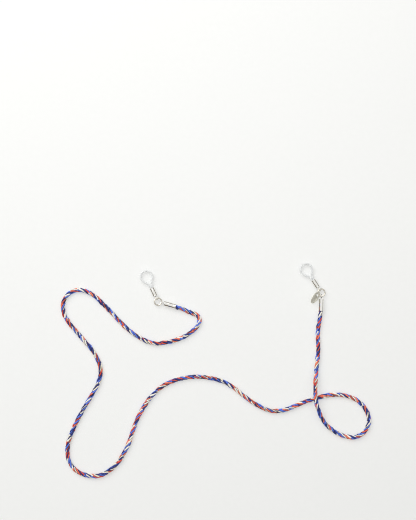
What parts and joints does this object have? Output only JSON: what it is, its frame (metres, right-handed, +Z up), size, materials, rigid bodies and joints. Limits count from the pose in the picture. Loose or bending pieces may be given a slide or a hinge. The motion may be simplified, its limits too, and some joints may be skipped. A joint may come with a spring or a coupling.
{
  "type": "eyeglass retainer strap",
  "caption": "Eyeglass retainer strap: a limp twisted rope whose crimped metal ends each carry a split ring and a clear silicone temple loop, with an oval tag on one ring.",
  "frame": {"origin": "on the surface the strap lies on, under the centre of the box around its end fittings (without the cord)", "axes": "+X from the left loop to the right loop, +Y from the cord towards the loops, +Z up from the surface"},
  "size_m": [0.1938, 0.1338, 0.0057],
  "materials": {
    "cord": "twisted blue, red and cream yarns",
    "polished_metal": "polished plate",
    "tag_metal": "polished, slightly worn",
    "silicone": "clear, satin"
  },
  "bodies": {
    "strap": {"cord": "cord", "cord_end_left": "polished_metal", "cord_end_right": "polished_metal"},
    "left_ring": {"jump_ring_left": "polished_metal"},
    "left_loop": {"ferrule_left": "polished_metal", "ferrule_eye_left": "polished_metal", "silicone_loop_left": "silicone"},
    "right_ring": {"jump_ring_right": "polished_metal"},
    "right_loop": {"ferrule_right": "polished_metal", "ferrule_eye_right": "polished_metal", "silicone_loop_right": "silicone"},
    "right_tag": {"tag": "tag_metal"}
  },
  "joints": [
    {"name": "left_ring_lift", "type": "hinge", "parent": "strap", "child": "left_ring", "pos_m": [-0.04489, -0.0099, 0.00168], "axis": [0.2756, 0.9613, 0], "range_deg": [0, 105]},
    {"name": "left_loop_swivel", "type": "hinge", "parent": "left_ring", "child": "left_loop", "pos_m": [-0.04705, -0.00928, 0.00168], "axis": [0, 0, 1], "range_deg": [-30, 128]},
    {"name": "right_ring_lift", "type": "hinge", "parent": "strap", "child": "right_ring", "pos_m": [0.05522, -0.00586, 0.00168], "axis": [0.9994, -0.0349, 0], "range_deg": [0, 105]},
    {"name": "right_loop_swivel", "type": "hinge", "parent": "right_ring", "child": "right_loop", "pos_m": [0.0553, -0.00361, 0.00168], "axis": [0, 0, 1], "range_deg": [-115, 5]},
    {"name": "tag_swing", "type": "hinge", "parent": "right_ring", "child": "right_tag", "pos_m": [0.05333, -0.0047, 0.00168], "axis": [0.4848, -0.8746, 0], "range_deg": [-20, 15]}
  ]
}
